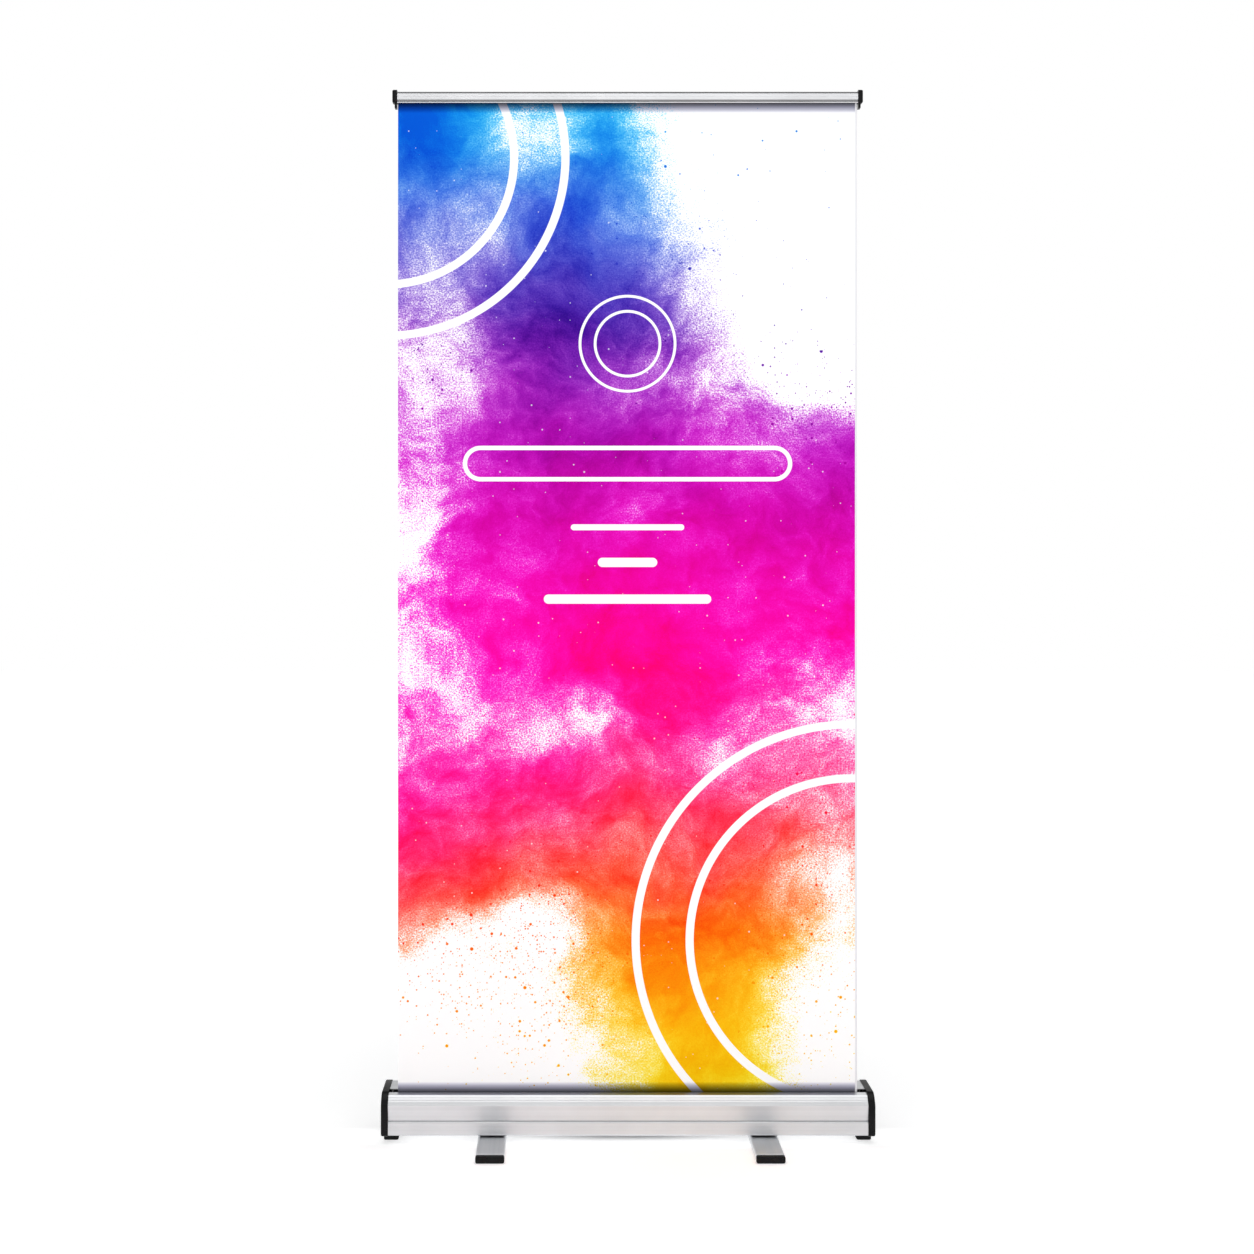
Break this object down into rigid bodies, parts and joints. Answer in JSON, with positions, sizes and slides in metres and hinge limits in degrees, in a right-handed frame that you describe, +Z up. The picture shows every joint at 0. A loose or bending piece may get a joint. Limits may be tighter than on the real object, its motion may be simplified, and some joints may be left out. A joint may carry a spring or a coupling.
{
  "type": "roll-up banner stand",
  "caption": "Free-standing roll-up banner: floor cassette with spring roller, swivel feet, telescopic pole and clamp rail.",
  "frame": {"origin": "on the floor, midway between the two foot pivots, which is the centre of the footprint", "axes": "+Z up, +X to the right as one faces the print, -Y the way the print faces"},
  "size_m": [0.9086, 0.284, 1.943],
  "materials": {
    "aluminium": "natural anodised, fine brushed extrusion",
    "black_plastic": "moulded black ABS, satin",
    "rubber": "matt black rubber",
    "steel": "zinc plated",
    "print": "printed film, satin front, light grey back"
  },
  "bodies": {
    "stand": {"cassette_housing": "aluminium", "pole_lower_tube": "aluminium", "end_cap_left": "black_plastic", "end_cap_right": "black_plastic", "foot_pivot_washer_left": "black_plastic", "foot_pivot_washer_right": "black_plastic", "pole_socket": "black_plastic", "pole_grommet": "black_plastic", "pole_lower_collar": "black_plastic", "floor_pad_left": "rubber", "floor_pad_right": "rubber", "end_cap_screw_left_1": "steel", "end_cap_screw_left_2": "steel", "end_cap_screw_left_3": "steel", "end_cap_screw_right_1": "steel", "end_cap_screw_right_2": "steel", "end_cap_screw_right_3": "steel", "foot_pivot_bolt_left": "steel", "foot_pivot_bolt_right": "steel", "foot_pivot_nut_left": "steel", "foot_pivot_nut_right": "steel", "spring_arbor": "steel", "torsion_spring": "steel", "spring_anchor": "steel", "pole_socket_screw_left": "steel", "pole_socket_screw_right": "steel", "banner_sheet": "print"},
    "foot_left": {"foot_left_bar": "aluminium", "foot_left_cap_front": "black_plastic", "foot_left_cap_rear": "black_plastic"},
    "foot_right": {"foot_right_bar": "aluminium", "foot_right_cap_front": "black_plastic", "foot_right_cap_rear": "black_plastic"},
    "roller": {"roller_tube": "aluminium", "roller_plug_left": "black_plastic", "roller_plug_right": "black_plastic", "roller_idle_pin": "steel", "spring_plug": "black_plastic", "banner_roll": "print"},
    "rail": {"rail_back": "aluminium", "rail_cap_left": "black_plastic", "rail_cap_right": "black_plastic", "rail_hanger": "black_plastic", "rail_hanger_screw_left": "steel", "rail_hanger_screw_right": "steel"},
    "rail_jaw": {"rail_jaw": "aluminium", "rail_grip_strip": "rubber"},
    "pole_middle": {"pole_middle_tube": "aluminium", "pole_middle_plug": "black_plastic", "pole_middle_collar": "black_plastic"},
    "pole_top": {"pole_top_tube": "aluminium", "pole_top_plug": "black_plastic", "pole_tip": "black_plastic"}
  },
  "joints": [
    {"name": "banner_retract", "type": "slide", "parent": "stand", "child": "rail", "axis": [0, 0, -1], "range_m": [0, 1.171], "deforming": ["banner_sheet"]},
    {"name": "roller_spin", "type": "hinge", "parent": "stand", "child": "roller", "pos_m": [0, 0.00035, 0.052], "axis": [1, 0, 0], "range_deg": [0, 3200]},
    {"name": "pole_middle_slide", "type": "slide", "parent": "stand", "child": "pole_middle", "axis": [0, 0, -1], "range_m": [0, 0.586]},
    {"name": "pole_top_slide", "type": "slide", "parent": "pole_middle", "child": "pole_top", "axis": [0, 0, -1], "range_m": [0, 0.586]},
    {"name": "rail_jaw_open", "type": "hinge", "parent": "rail", "child": "rail_jaw", "pos_m": [0, -0.0168, 1.9368], "axis": [-1, 0, 0], "range_deg": [0, 60]},
    {"name": "foot_left_swivel", "type": "hinge", "parent": "stand", "child": "foot_left", "pos_m": [-0.25, 0, 0], "axis": [0, 0, 1], "range_deg": [0, 90]},
    {"name": "foot_right_swivel", "type": "hinge", "parent": "stand", "child": "foot_right", "pos_m": [0.25, 0, 0], "axis": [0, 0, -1], "range_deg": [0, 90]}
  ],
  "couplings": [
    {"joint": "roller_spin", "follows": "banner_retract", "rad_per_m": 47.5},
    {"joint": "pole_middle_slide", "follows": "banner_retract", "ratio": 0.5},
    {"joint": "pole_top_slide", "follows": "banner_retract", "ratio": 0.5}
  ]
}
